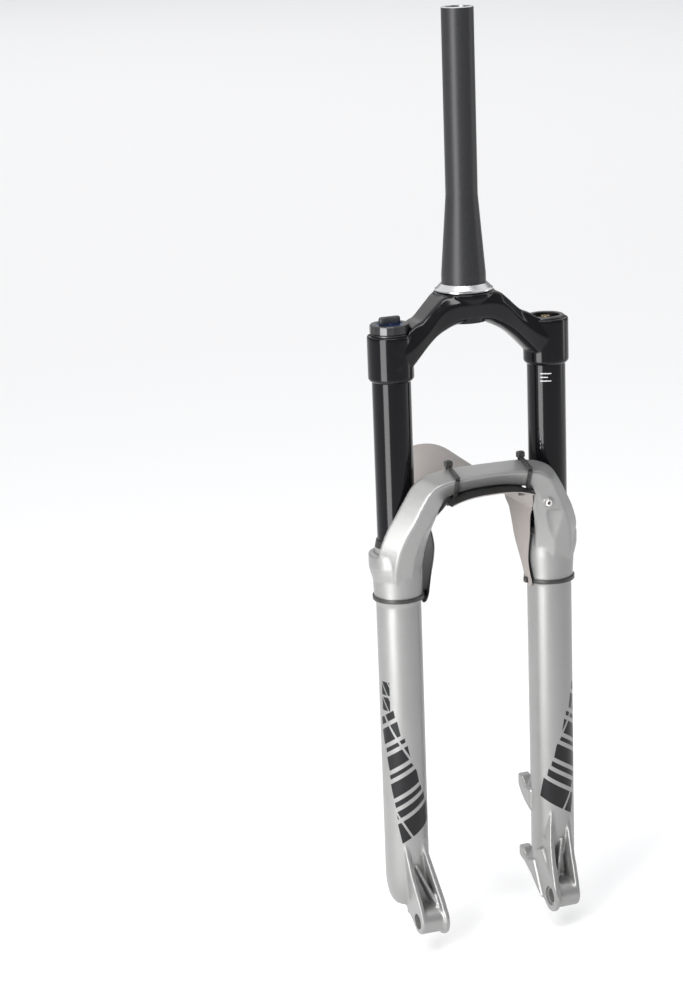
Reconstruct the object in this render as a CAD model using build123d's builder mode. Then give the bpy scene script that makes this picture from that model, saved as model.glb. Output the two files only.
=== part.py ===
from build123d import *
import os

# Air-sprung suspension fork for a bicycle wheel, at full extension.
# +Z runs up along the steerer axis, -Y is the front of the bicycle, +X is the rider's left.
# The origin is on the steerer axis, at the seat of the lower bearing race on the crown.

os.makedirs("parts", exist_ok=True)

# ---- driving dimensions, mm -----------------------------------------------------------------

travel = 140.0                 # stroke of the lowers on the stanchions
side_x = {"damper": -75.8, "air": 75.8}    # stanchion axes
leg_y = -8.3                   # stanchions stand ahead of the steerer axis
axle_y, axle_z = -44.5, -582.0
hub_width = 110.0              # between the inner faces of the dropouts
axle_r = 7.55                  # plain bore for a 15 mm axle
axle_thread_r = 6.9            # minor radius of the axle thread, on the brake side
press_gap = 0.04               # radial gap drawn between pieces that are pressed or screwed together
slide_gap = 0.05               # radial running gap

# Steerer and race
steerer_top = 245.5
steerer_r, steerer_base_r = 14.3, 19.9
taper_top, taper_bottom = 84.0, 14.0
steerer_bore_r, steerer_base_bore_r = 11.1, 16.0
race_r, race_height = 26.0, 6.0

# Crown
boss_r = 28.5
crown_low = -29.0              # underside of the crown in the middle
collar_r = 20.65
collar_top, collar_bottom = -31.5, -73.5
knob_r = 17.8                  # outer adjuster ring, which the arms are scooped out for

# Stanchions
stanchion_r, stanchion_bore_r = 17.5, 15.6
stanchion_top, stanchion_bottom = -34.0, -374.0

# Lowers
rim_clearance = 16.5           # between the collars and the housing rims at full travel
housing_top = collar_bottom - travel - rim_clearance    # rim that holds the dust wiper
housing_low = -258.0
housing_r = 23.2
rim_r, rim_out = 24.0, 2.3      # thickened rim, centred a little outside the leg's axis
leg_r = 20.7
leg_bore_r = 18.3
bushing_length = 20.0
foot_floor = -556.0            # bottom of the leg's bore
foot_low = -562.0              # underside of the floor that the foot bolt clamps
foot_tip = -575.0
arch_rear_y = -30.6
ridge_y = -52.0

# Fender
fender_t = 1.2
fender_half = 52.2


def leg_plane(side, z=0.0):
    """The XZ plane through one leg's axis: local x is the radius, local y is the height."""
    return Plane(origin=(side_x[side], leg_y, z), x_dir=(1, 0, 0), z_dir=(0, -1, 0))


def leg_axis(side):
    """The axis of one leg and its stanchion."""
    return Axis((side_x[side], leg_y, 0), (0, 0, 1))


def level(side, z):
    """The horizontal plane at height z, centred on one leg's axis."""
    return Plane(origin=(side_x[side], leg_y, z))


def save(piece, name):
    """Labels one finished piece and writes its STEP file."""
    piece.part.label = name
    export_step(piece.part, f"parts/{name}.step")


def turned(name, side, profile, bore=0.0):
    """A turned piece on one leg's axis: profile is its closed outline as (radius, height) points."""
    with BuildPart() as piece:
        with BuildSketch(leg_plane(side)):
            with BuildLine():
                Polyline(*profile, close=True)
            make_face()
        revolve(axis=leg_axis(side))
        if bore:
            low = min(z for _, z in profile)
            high = max(z for _, z in profile)
            with BuildSketch(level(side, low)):
                Circle(bore)
            extrude(amount=high - low, mode=Mode.SUBTRACT)
    save(piece, name)


def ring(name, side, z_low, z_high, r_in, r_out, edge=0.0):
    """A plain ring or tube on one leg's axis, with its outer edges broken by edge."""
    with BuildPart() as piece:
        with BuildSketch(level(side, z_low)):
            Circle(r_out)
            if r_in:
                Circle(r_in, mode=Mode.SUBTRACT)
        extrude(amount=z_high - z_low)
        if edge:
            rims = piece.edges().filter_by(GeomType.CIRCLE).sort_by(SortBy.RADIUS)[-2:]
            chamfer(rims, edge)
    save(piece, name)


# ---- steerer tube: butted aluminium, straight at the stem and tapered to the crown ------------

with BuildPart() as steerer_tube:
    with BuildSketch(Plane.XZ):
        with BuildLine():
            Polyline(
                (steerer_bore_r, steerer_top),
                (steerer_r - 0.6, steerer_top),
                (steerer_r, steerer_top - 0.6),
                (steerer_r, taper_top),
                (steerer_base_r, taper_bottom),
                (steerer_base_r, crown_low + 1),
                (steerer_base_bore_r, crown_low + 1),
                (steerer_base_bore_r, taper_bottom),
                (steerer_bore_r, taper_top + 16),
                close=True,
            )
        make_face()
    revolve(axis=Axis.Z)
save(steerer_tube, "steerer_tube")

# ---- crown race: the cone that carries the lower headset bearing ------------------------------

with BuildPart() as crown_race:
    race_bore_r = steerer_base_r + press_gap
    with BuildSketch(Plane.XZ):
        with BuildLine():
            Polyline(
                (race_bore_r, 0),
                (race_r, 0),
                (race_r, 1.2),
                (race_r - 1.2, 1.9),
                (race_bore_r + 0.9, race_height),
                (race_bore_r, race_height),
                close=True,
            )
        make_face()
    revolve(axis=Axis.Z)
save(crown_race, "crown_race")

# ---- crown: forged arms from the steerer boss out to the two stanchion collars ----------------

arm_depth = 60.0               # longer than the crown is deep, trimmed by the plan outline
shoulder_x, shoulder_z = 40.6, -14.6
with BuildPart() as crown:
    with BuildSketch(Plane.XZ.offset(-arm_depth / 2)):
        with BuildLine():
            collar_x = side_x["air"]
            inner_x = collar_x - collar_r
            outer_corner = (collar_x, collar_top - 0.5)
            elbow_z = -60.0
            Polyline(
                (inner_x, elbow_z),
                (collar_x, elbow_z),
                outer_corner,
                (53.0, -23.0),
                (shoulder_x, shoulder_z),
                (boss_r - 1.5, -0.8),
                (-boss_r + 1.5, -0.8),
                (-shoulder_x, shoulder_z),
                (-53.0, -23.0),
                (-collar_x, outer_corner[1]),
                (-collar_x, elbow_z),
                (-inner_x, elbow_z),
            )
            ThreePointArc((-inner_x, elbow_z), (0, crown_low), (inner_x, elbow_z))
        make_face()
    extrude(amount=arm_depth)
    with BuildSketch(Plane.XY.offset(elbow_z)):
        with BuildLine():
            front_y = leg_y - collar_r
            rear_y = leg_y + collar_r
            ThreePointArc((-collar_x, front_y), (-38, -24), (0, -boss_r))
            ThreePointArc((0, -boss_r), (38, -24), (collar_x, front_y))
            Line((collar_x, front_y), (collar_x, rear_y))
            ThreePointArc((collar_x, rear_y), (42, 13.5), (20, 21))
            ThreePointArc((20, 21), (0, boss_r), (-20, 21))
            ThreePointArc((-20, 21), (-42, 13.5), (-collar_x, rear_y))
            Line((-collar_x, rear_y), (-collar_x, front_y))
        make_face()
    extrude(amount=-elbow_z, mode=Mode.INTERSECT)
    with BuildSketch(Plane.XY.offset(crown_low)):
        Circle(boss_r)
    extrude(amount=-crown_low)
    for side in side_x:
        with BuildSketch(level(side, collar_bottom)):
            Circle(collar_r)
        extrude(amount=collar_top - collar_bottom)
    rims = crown.edges().filter_by(GeomType.CIRCLE)
    chamfer(rims.filter_by_position(Axis.Z, collar_bottom - 0.1, collar_bottom + 0.1), 2.5)
    with BuildSketch(Plane.XY.offset(elbow_z)):
        Circle(steerer_base_r + press_gap)
    extrude(amount=-elbow_z, mode=Mode.SUBTRACT)
    for side in side_x:
        with BuildSketch(level(side, collar_bottom)):
            Circle(stanchion_r + press_gap)
        extrude(amount=collar_top - collar_bottom, mode=Mode.SUBTRACT)
        with BuildSketch(level(side, collar_top)):
            Circle(knob_r + 0.8)
        extrude(amount=20, mode=Mode.SUBTRACT)
save(crown, "crown")

# ---- stanchions: polished black tubes pressed into the collars ---------------------------------

for side in side_x:
    ring(f"stanchion_{side}", side, stanchion_bottom, stanchion_top, stanchion_bore_r, stanchion_r, 0.5)

# ---- damper side: cap, adjusters, compression valve, bladder and cartridge ---------------------

plug_r = stanchion_bore_r - press_gap
cap_top = -29.6
cap_flange_r = 17.2
needle_r = 2.5
turned(
    "damper_top_cap",
    "damper",
    [
        (0, stanchion_top + 0.05),
        (plug_r, stanchion_top + 0.05),
        (cap_flange_r, stanchion_top + 0.05),
        (cap_flange_r, cap_top - 0.8),
        (cap_flange_r - 0.8, cap_top),
        (0, cap_top),
    ],
    bore=needle_r + slide_gap,
)

seal_groove_top = -40.0
seal_height = 2.4
groove_depth = 2.6
with BuildPart() as damper_cap_plug:
    with BuildSketch(leg_plane("damper")):
        with BuildLine():
            Polyline(
                (needle_r + slide_gap, stanchion_top),
                (plug_r, stanchion_top),
                (plug_r, seal_groove_top),
                (plug_r - groove_depth, seal_groove_top),
                (plug_r - groove_depth, seal_groove_top - seal_height),
                (plug_r, seal_groove_top - seal_height),
                (plug_r, -48),
                (needle_r + slide_gap, -48),
                close=True,
            )
        make_face()
    revolve(axis=leg_axis("damper"))
save(damper_cap_plug, "damper_cap_plug")

for side in side_x:
    seal_r = seal_height / 2 - 0.05
    with BuildPart() as cap_seal:
        with BuildSketch(leg_plane(side, seal_groove_top - seal_height / 2)):
            with Locations((plug_r - seal_r - 0.05, 0)):
                Circle(seal_r)
        revolve(axis=leg_axis(side))
    save(cap_seal, f"{side}_cap_seal")

knob_low, knob_high = cap_top + 0.3, -22.0
knob_facets = 18
dial_r = 11.0
dial_high = knob_high - 0.4
dial_low = dial_high - 2.6
with BuildPart() as compression_knob:
    with BuildSketch(level("damper", knob_low)):
        RegularPolygon(radius=knob_r, side_count=knob_facets)
    extrude(amount=knob_high - knob_low)
    chamfer(compression_knob.faces().sort_by(Axis.Z)[-1].edges(), 0.8)
    with BuildSketch(level("damper", knob_low)):
        Circle(needle_r + slide_gap)
    extrude(amount=knob_high - knob_low, mode=Mode.SUBTRACT)
    with BuildSketch(level("damper", dial_low - 0.3)):
        Circle(dial_r + 0.4)
    extrude(amount=8, mode=Mode.SUBTRACT)
save(compression_knob, "compression_knob")

click_marks = 12
with BuildPart() as low_speed_dial:
    with BuildSketch(level("damper", dial_low)):
        Circle(dial_r)
        Circle(needle_r + press_gap, mode=Mode.SUBTRACT)
    extrude(amount=dial_high - dial_low)
    with BuildSketch(level("damper", dial_high - 0.5)):
        with PolarLocations(dial_r - 1, click_marks):
            Circle(0.5)
    extrude(amount=0.5, mode=Mode.SUBTRACT)
save(low_speed_dial, "low_speed_dial")

grip_length, grip_width, grip_high = 20.0, 6.5, -15.6
with BuildPart() as dial_grip:
    with BuildSketch(level("damper", dial_high + press_gap)):
        SlotOverall(grip_length, grip_width)
    extrude(amount=grip_high - dial_high - press_gap)
    fillet(dial_grip.faces().sort_by(Axis.Z)[-1].edges(), 1.2)
    with BuildSketch(level("damper", dial_high)):
        Circle(needle_r + press_gap)
    extrude(amount=3, mode=Mode.SUBTRACT)
save(dial_grip, "dial_grip")

valve_high, valve_low = -48.3, -76.0
ring("compression_needle", "damper", -70.0, dial_high + 2.5, 0, needle_r)

valve_ports = 6
with BuildPart() as compression_valve:
    with BuildSketch(level("damper", valve_low)):
        Circle(plug_r)
        Circle(needle_r + slide_gap, mode=Mode.SUBTRACT)
        with PolarLocations(9.5, valve_ports):
            Circle(2.2, mode=Mode.SUBTRACT)
    extrude(amount=valve_high - valve_low)
save(compression_valve, "compression_valve")

bladder_low = -160.0
cartridge_r, cartridge_bore_r = 14.6, 13.2
cartridge_low = -350.0
ring("damper_bladder", "damper", bladder_low, valve_low - 0.1, 13.2, 14.4)
ring("damper_tube", "damper", cartridge_low, bladder_low - 0.2, cartridge_bore_r, cartridge_r)

shaft_r, shaft_bore_r = 5.0, 3.0
ring("damper_seal_head", "damper", stanchion_bottom + 1, cartridge_low - 0.2, shaft_r + slide_gap, plug_r, 0.6)

# ---- air side: cap, valve, volume spacers and the seal head held by its ring -------------------

recess_r = 12.8
recess_floor = -38.0
valve_r = 4.0
with BuildPart() as air_top_cap:
    with BuildSketch(leg_plane("air")):
        with BuildLine():
            Polyline(
                (valve_r + press_gap, recess_floor),
                (recess_r, recess_floor),
                (recess_r, cap_top - 0.6),
                (recess_r + 0.6, cap_top),
                (cap_flange_r - 0.8, cap_top),
                (cap_flange_r, cap_top - 0.8),
                (cap_flange_r, stanchion_top + 0.05),
                (plug_r, stanchion_top + 0.05),
                (plug_r, seal_groove_top),
                (plug_r - groove_depth, seal_groove_top),
                (plug_r - groove_depth, seal_groove_top - seal_height),
                (plug_r, seal_groove_top - seal_height),
                (plug_r, -48),
                (valve_r + press_gap, -48),
                close=True,
            )
        make_face()
    revolve(axis=leg_axis("air"))
save(air_top_cap, "air_top_cap")

pin_r = 0.9
valve_mouth = -30.6
with BuildPart() as air_valve_body:
    with BuildSketch(level("air", -52)):
        Circle(valve_r)
    extrude(amount=valve_mouth + 52)
    with BuildSketch(level("air", recess_floor + 0.05)):
        RegularPolygon(radius=6.4, side_count=6)
    extrude(amount=2.5)
    chamfer(air_valve_body.edges().sort_by(Axis.Z)[-1], 0.4)
    with BuildSketch(level("air", -46)):
        Circle(2.4)
    extrude(amount=20, mode=Mode.SUBTRACT)
    with BuildSketch(level("air", -52)):
        Circle(pin_r + slide_gap)
    extrude(amount=8, mode=Mode.SUBTRACT)
save(air_valve_body, "air_valve_body")

ring("air_valve_pin", "air", -51, valve_mouth - 0.4, 0, pin_r)

spacer_height = 11.0
with BuildPart() as volume_spacers:
    for count in range(2):
        with BuildSketch(level("air", -52.4 - (count + 1) * (spacer_height + 0.1))):
            Circle(14.6)
            Circle(5, mode=Mode.SUBTRACT)
        extrude(amount=spacer_height)
save(volume_spacers, "volume_spacers")

ring_height = 1.6
ring("air_seal_head", "air", stanchion_bottom + 4, -356.0, shaft_r + slide_gap, plug_r, 0.6)
with BuildPart() as air_retaining_ring:
    with BuildSketch(level("air", stanchion_bottom + 4 - 0.1 - ring_height)):
        Circle(plug_r)
        Circle(plug_r - 2.2, mode=Mode.SUBTRACT)
        with Locations((plug_r - 1, 0)):
            Rectangle(5, 6, mode=Mode.SUBTRACT)
    extrude(amount=ring_height)
save(air_retaining_ring, "air_retaining_ring")
ring("topout_bumper", "air", -355.9, -345.0, shaft_r + 0.15, 11.0, 1.0)

# ---- lower assembly: shafts and pistons that rise inside the stanchions -------------------------

piston_high, piston_low = -322.0, -338.0
rod_top = -316.0
rod_thread_r = 3.9
for side, name in (("damper", "rebound_shaft"), ("air", "air_shaft")):
    with BuildPart() as shaft:
        with BuildSketch(level(side, foot_floor)):
            Circle(shaft_r)
        extrude(amount=rod_top - foot_floor)
        with BuildSketch(level(side, foot_floor)):
            Circle(shaft_bore_r)
        extrude(amount=rod_top - foot_floor - (0 if side == "damper" else 4), mode=Mode.SUBTRACT)
        with BuildSketch(level(side, foot_floor)):
            Circle(rod_thread_r + press_gap)
        extrude(amount=16, mode=Mode.SUBTRACT)
        chamfer(shaft.faces().sort_by(Axis.Z)[-1].edges().sort_by(SortBy.RADIUS)[-1], 0.5)
    save(shaft, name)

with BuildPart() as rebound_piston:
    with BuildSketch(level("damper", piston_low)):
        Circle(cartridge_bore_r - slide_gap)
        Circle(shaft_r + press_gap, mode=Mode.SUBTRACT)
        with PolarLocations(9, 6):
            Circle(1.8, mode=Mode.SUBTRACT)
    extrude(amount=piston_high - piston_low)
save(rebound_piston, "rebound_piston")

with BuildPart() as air_piston:
    with BuildSketch(leg_plane("air")):
        with BuildLine():
            Polyline(
                (shaft_r + press_gap, piston_low),
                (stanchion_bore_r - slide_gap, piston_low),
                (stanchion_bore_r - slide_gap, piston_low + 5),
                (plug_r - 2.2, piston_low + 5),
                (plug_r - 2.2, piston_low + 9),
                (stanchion_bore_r - slide_gap, piston_low + 9),
                (stanchion_bore_r - slide_gap, piston_high),
                (shaft_r + press_gap, piston_high),
                close=True,
            )
        make_face()
    revolve(axis=leg_axis("air"))
save(air_piston, "air_piston")
ring("air_piston_seal", "air", piston_low + 5.1, piston_low + 8.9, plug_r - 2.1, stanchion_bore_r - 0.02, 0.5)
ring("bottomout_bumper", "air", foot_floor + 0.1, foot_floor + 22, shaft_r + 0.1, 11.0, 1.5)

# Foot bolts, with their crush washers, and the rebound adjuster below the damper's bolt
bolt_head_low = foot_low - 5.0
for side in side_x:
    with BuildPart() as foot_bolt:
        with BuildSketch(level(side, bolt_head_low)):
            Circle(7.4)
        extrude(amount=foot_low - 1.1 - bolt_head_low)
        with BuildSketch(level(side, bolt_head_low)):
            Circle(rod_thread_r)
        extrude(amount=foot_floor + 14 - bolt_head_low)
        if side == "air":
            with BuildSketch(level(side, bolt_head_low)):
                RegularPolygon(radius=2.9, side_count=6)
            extrude(amount=3, mode=Mode.SUBTRACT)
        else:
            with BuildSketch(level(side, bolt_head_low)):
                Circle(1.5 + slide_gap)
            extrude(amount=40, mode=Mode.SUBTRACT)
    save(foot_bolt, f"{side}_foot_bolt")
    ring(f"{side}_foot_washer", side, foot_low - 1.05, foot_low - 0.05, rod_thread_r + 0.1, 7.4)

rebound_low = foot_tip + 1.0
rebound_high = bolt_head_low - 0.3
ring("rebound_needle", "damper", rebound_high - 3, -330.0, 0, 1.5)
with BuildPart() as rebound_knob:
    with BuildSketch(level("damper", rebound_low)):
        Circle(7.0)
        with PolarLocations(7.4, 12):
            Circle(0.9, mode=Mode.SUBTRACT)
    extrude(amount=rebound_high - rebound_low)
    with BuildSketch(level("damper", rebound_high - 3)):
        Circle(1.5 + press_gap)
    extrude(amount=5, mode=Mode.SUBTRACT)
save(rebound_knob, "rebound_knob")

# ---- lowers: one magnesium casting of two legs, the arch, the dropouts and the brake posts ------

# Each arch station is a flat section: its outer and inner points at the rear, how far forward the
# rear face stands, how far from the outer to the inner point the ridge and the lower front edge lie,
# and how far forward each of those is. The last two stations run into the leg.
arch_stations = [
    ((0, -152.7), (0, -171.5), arch_rear_y, 0.35, ridge_y, 0.97, -50.5),
    ((36, -153.5), (34, -172.5), arch_rear_y, 0.35, ridge_y, 0.97, -50.5),
    ((54, -156.5), (41, -176.5), arch_rear_y, 0.35, ridge_y, 0.95, -50.0),
    ((68, -163.5), (44.5, -184), arch_rear_y, 0.37, -51.0, 0.93, -48.5),
    ((77, -176), (48, -193), arch_rear_y, 0.38, -49.0, 0.92, -46.0),
    ((86, -192), (51.5, -205), arch_rear_y, 0.38, -46.0, 0.90, -42.5),
    ((94.3, -208), (54, -216), arch_rear_y, 0.36, -41.5, 0.88, -39.0),
    ((99.8, -226), (55.2, -231), -20.0, 0.33, -37.0, 0.85, -35.5),
    ((99.2, -245), (57.5, -250), -8.5, 0.27, -32.5, 0.80, -30.8),
    ((92.0, -276), (60.0, -278), -8.5, 0.25, -25.5, 0.78, -24.5),
]
post_x, post_face_y, post_r = 56.5, 19.5, 6.6
post_spacing = 74.2
post_high = -484.0
post_hole_r, post_hole_depth = 2.5, 16.0
post_length, web_t = 26.0, 7.0
barrel_r, plate_r = 12.5, 15.5
dropout_inner = hub_width / 2
dropout_outer = 81.5
plate_outer = dropout_inner + 4.5
hose_boss = (58.2, -194.2)
hose_hole_r, hose_hole_depth = 1.65, 8.0


def arch_face(station, mirror_x):
    """One section of the arch as a face across it, on the +X half or mirrored to the other."""
    outer, inner, rear, ridge_share, ridge_depth, lip_share, lip_depth = station

    def point(share, depth):
        x = outer[0] + share * (inner[0] - outer[0])
        z = outer[1] + share * (inner[1] - outer[1])
        return Vector(mirror_x * x, depth, z)

    corners = [
        point(0, rear),
        point(ridge_share, ridge_depth),
        point(lip_share, lip_depth),
        point(1, lip_depth + 3),
        point(1, rear),
    ]
    return Face(Wire.make_polygon(corners, close=True))


with BuildPart() as lowers_casting:
    for side in side_x:
        with BuildSketch(leg_plane(side)):
            with BuildLine():
                Polyline(
                    (0, housing_top),
                    (housing_r - 0.8, housing_top),
                    (housing_r, housing_top - 0.8),
                    (housing_r, housing_low),
                    (leg_r + 0.8, housing_low - 14),
                    (leg_r, housing_low - 60),
                    (leg_r, foot_tip + 28),
                )
                foot_shoulder = (leg_r, foot_tip + 28)
                TangentArc(foot_shoulder, (11.5, foot_tip), tangent=(0, -1))
                Polyline((11.5, foot_tip), (0, foot_tip), (0, housing_top))
            make_face()
        revolve(axis=leg_axis(side))
        # The rim of the housing is thicker on the outside, and tapers down into the leg
        outward = 1 if side == "air" else -1
        for z_high, r_high, out_high, z_low, r_low, out_low in (
            (housing_top, rim_r, rim_out, housing_low + 12, rim_r, rim_out),
            (housing_low + 12, rim_r, rim_out, housing_low - 6, leg_r - 0.5, 0.0),
        ):
            for z, radius, out in ((z_high, r_high, out_high), (z_low, r_low, out_low)):
                with BuildSketch(level(side, z)):
                    with Locations((outward * out, 0)):
                        Circle(radius)
            loft()
    for mirror_x in (-1, 1):
        loft([arch_face(station, mirror_x) for station in arch_stations], ruled=True)
        # Dropout: barrel and inner plate round the axle, drawn out to the leg's front
        for near, far, radius in (
            (dropout_inner, plate_outer, plate_r),
            (plate_outer, dropout_outer, barrel_r),
        ):
            plane = Plane(origin=(mirror_x * near, 0, 0), x_dir=(0, 1, 0), z_dir=(1, 0, 0))
            with BuildSketch(plane):
                with Locations((axle_y, axle_z)):
                    Circle(radius)
                with Locations((leg_y - 12, -530)):
                    Circle(8)
                with Locations((leg_y - 2, -562)):
                    Circle(11)
                make_hull()
            extrude(amount=mirror_x * (far - near))
    # Brake posts: the upper one's web slants down into the leg, the lower one's into the dropout
    post_low = post_high - post_spacing
    web_start = post_face_y - 1.5
    web_rise = post_r - 1
    for post_z, web_foot in (
        (post_high, [(-6, post_high - 32), (-6, post_high + web_rise)]),
        (post_low, [(-26, axle_z - 6), (-14, post_low + web_rise)]),
    ):
        with BuildSketch(Plane.XZ.offset(-post_face_y)):
            with Locations((post_x, post_z)):
                Circle(post_r)
        extrude(amount=post_length)
        web_plane = Plane(origin=(dropout_inner, 0, 0), x_dir=(0, 1, 0), z_dir=(1, 0, 0))
        with BuildSketch(web_plane):
            with BuildLine():
                Polyline(
                    (web_start, post_z + web_rise),
                    (web_start, post_z - web_rise),
                    *web_foot,
                    close=True,
                )
            make_face()
        extrude(amount=web_t)
    # Clearance round the stanchions and the crown's collars above the housing rims
    for side in side_x:
        with BuildSketch(level(side, housing_top)):
            Circle(collar_r + 1.1)
        extrude(amount=120, mode=Mode.SUBTRACT)
        with BuildSketch(level(side, foot_floor)):
            Circle(leg_bore_r)
        extrude(amount=housing_top - foot_floor, mode=Mode.SUBTRACT)
        with BuildSketch(level(side, housing_top - 18)):
            Circle(20.8)
        extrude(amount=18, mode=Mode.SUBTRACT)
        with BuildSketch(level(side, foot_tip - 30)):
            Circle(rod_thread_r + 0.2)
        extrude(amount=60, mode=Mode.SUBTRACT)
        with BuildSketch(level(side, foot_tip - 30)):
            Circle(9.0)
        extrude(amount=foot_low - foot_tip + 30, mode=Mode.SUBTRACT)
    # Axle bore: plain on the damper side, threaded on the brake side
    for mirror_x, bore_r in ((-1, axle_r), (1, axle_thread_r)):
        plane = Plane(origin=(mirror_x * dropout_inner, 0, 0), x_dir=(0, 1, 0), z_dir=(1, 0, 0))
        with BuildSketch(plane):
            with Locations((axle_y, axle_z)):
                Circle(bore_r)
        extrude(amount=mirror_x * 40, mode=Mode.SUBTRACT)
        # Cast pockets between the outer rib, the middle rib and the inner plate
        pocket_plane = Plane.XZ.offset(60)
        with BuildSketch(pocket_plane):
            with BuildLine():
                Polyline(
                    (mirror_x * (plate_outer + 1.5), -566),
                    (mirror_x * (plate_outer + 1.5), -536),
                    (mirror_x * (plate_outer + 9), -566),
                    close=True,
                )
            make_face()
            with BuildLine():
                Polyline(
                    (mirror_x * (plate_outer + 5), -534),
                    (mirror_x * (dropout_outer - 6), -534),
                    (mirror_x * (dropout_outer - 4), -566),
                    (mirror_x * (plate_outer + 12.5), -566),
                    close=True,
                )
            make_face()
        extrude(amount=-32, mode=Mode.SUBTRACT)
    # Threaded holes: two in the brake posts, one for the brake hose clamp
    for post_z in (post_high, post_low):
        with BuildSketch(Plane.XZ.offset(-post_face_y)):
            with Locations((post_x, post_z)):
                Circle(post_hole_r)
        extrude(amount=post_hole_depth, mode=Mode.SUBTRACT)
    with BuildSketch(Plane.XZ.offset(49)):
        with Locations(hose_boss):
            Circle(3.4)
    extrude(amount=-8)
    with BuildSketch(Plane.XZ.offset(49)):
        with Locations(hose_boss):
            Circle(hose_hole_r)
    extrude(amount=-hose_hole_depth, mode=Mode.SUBTRACT)
save(lowers_casting, "lowers_casting")

# ---- bushings, foam rings and dust wipers in each leg -------------------------------------------

lower_bushing_top = -348.0
for side in side_x:
    for place, top in (("upper", housing_top - 26), ("lower", lower_bushing_top)):
        ring(
            f"{place}_bushing_{side}",
            side,
            top - bushing_length,
            top,
            stanchion_r + slide_gap,
            leg_bore_r - press_gap,
        )
    ring(f"foam_ring_{side}", side, housing_top - 17.9, housing_top - 9.1, stanchion_r + 0.3, 20.7)
    turned(
        f"dust_wiper_{side}",
        side,
        [
            (stanchion_r + slide_gap, -218.5),
            (stanchion_r + 1.1, -218.5),
            (20.2, -226.0),
            (20.2, housing_top + 0.05),
            (21.3, housing_top + 0.05),
            (21.3, housing_top + 2),
            (20.7, housing_top + 2),
            (20.7, housing_top - 9),
            (18.6, housing_top - 9),
            (18.6, -222.0),
            (stanchion_r + slide_gap, -220.0),
        ],
    )

# ---- fender: thin sheet under the arch, with a wing down each leg and a tail behind --------------


def dome(y, crest, edge, half):
    """One closed cross-section of the sheet: an arched band of the fender's thickness."""
    with BuildSketch(Plane.XZ.offset(-y)) as band:
        with BuildLine():
            ThreePointArc((-half, edge), (0, crest), (half, edge))
            Line((half, edge), (half - fender_t * 0.6, edge - fender_t))
            ThreePointArc(
                (half - fender_t * 0.6, edge - fender_t),
                (0, crest - fender_t),
                (-half + fender_t * 0.6, edge - fender_t),
            )
            Line((-half + fender_t * 0.6, edge - fender_t), (-half, edge))
        make_face()
    return band.sketch.face()


fender_crest = -173.8
wing_outline = [
    (-27, -204.5), (-23, -207), (-22, -228), (-16, -256), (-20, -272), (-18, -279),
    (-12, -281), (-7, -276), (-1, -260), (13, -236), (20, -217), (32, -204.5),
]
tie_width, tie_t = 3.6, 1.3
arch_tie_x = {-1: 33.0, 1: 38.0}
tie_slots_y = (-52.6, -29.6)
tie_low_front, tie_low_rear = -181.8, -187.6
with BuildPart() as fender:
    fender_sections = [
        dome(-57, fender_crest - 0.2, -180.2, 42.6),
        dome(-33, fender_crest, -180.8, 42.4),
        dome(-24, fender_crest, -205, fender_half),
        dome(34, fender_crest, -205, fender_half),
        dome(75, -170, -196, 49),
        dome(112, -166, -188, 42),
    ]
    loft(fender_sections, ruled=True)
    for mirror_x in (-1, 1):
        wing_plane = Plane(origin=(mirror_x * fender_half, 0, 0), x_dir=(0, 1, 0), z_dir=(1, 0, 0))
        with BuildSketch(wing_plane):
            with BuildLine():
                Polyline(*wing_outline, close=True)
            make_face()
        extrude(amount=-mirror_x * fender_t)
        for slot_y in tie_slots_y:
            with BuildSketch(Plane.XY.offset(-200)):
                with Locations((mirror_x * arch_tie_x[mirror_x], slot_y)):
                    Rectangle(tie_width + 0.8, tie_t + 2.4)
            extrude(amount=40, mode=Mode.SUBTRACT)
save(fender, "fender")

# ---- cable ties: two round the arch and the fender's front, one round each leg -------------------

arch_loop = [
    (arch_rear_y + 0.3, -152.3),
    (ridge_y - 0.4, -158.9),
    (ridge_y - 0.4, -163),
    (tie_slots_y[0] + 0.65, tie_low_front),
    (arch_rear_y + 0.3, tie_low_rear),
]
tie_head = 5.2
for name, mirror_x in (("arch_tie_right", -1), ("arch_tie_left", 1)):
    with BuildPart() as tie:
        middle = mirror_x * arch_tie_x[mirror_x]
        loop_plane = Plane(origin=(middle, 0, 0), x_dir=(0, 1, 0), z_dir=(1, 0, 0))
        with BuildSketch(loop_plane):
            with BuildLine():
                Polyline(*arch_loop, close=True)
            make_face()
            offset(amount=tie_t)
            with BuildLine():
                Polyline(*arch_loop, close=True)
            make_face(mode=Mode.SUBTRACT)
        extrude(amount=tie_width / 2, both=True)
        with BuildSketch(Plane.XY.offset(-151.8)):
            with Locations((middle, arch_rear_y - 1)):
                Rectangle(tie_head, tie_head)
        extrude(amount=tie_head)
        fillet(tie.faces().sort_by(Axis.Z)[-1].edges(), 0.8)
    save(tie, name)

for name, side, tie_z in (("leg_tie_right", "damper", -274.0), ("leg_tie_left", "air", -277.0)):
    toward = -1 if side == "air" else 1
    reach = collar_x - fender_half + fender_t + 0.4
    with BuildPart() as tie:
        for grow, mode in ((tie_t, Mode.ADD), (0, Mode.SUBTRACT)):
            with BuildSketch(level(side, tie_z)):
                Circle(leg_r + 2.2 + grow)
                with Locations((toward * (reach + grow - 2), -4.5)):
                    Rectangle(4, 19 + 2 * grow)
                make_hull()
            extrude(amount=tie_width, mode=mode)
        with BuildSketch(level(side, tie_z - 0.8)):
            with Locations((toward * (reach + tie_t + 1.2), -4.5)):
                Rectangle(3.0, tie_head)
        extrude(amount=tie_head)
    save(tie, name)
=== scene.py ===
import math

import bmesh
import bpy
from mathutils import Matrix, Vector


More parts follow.
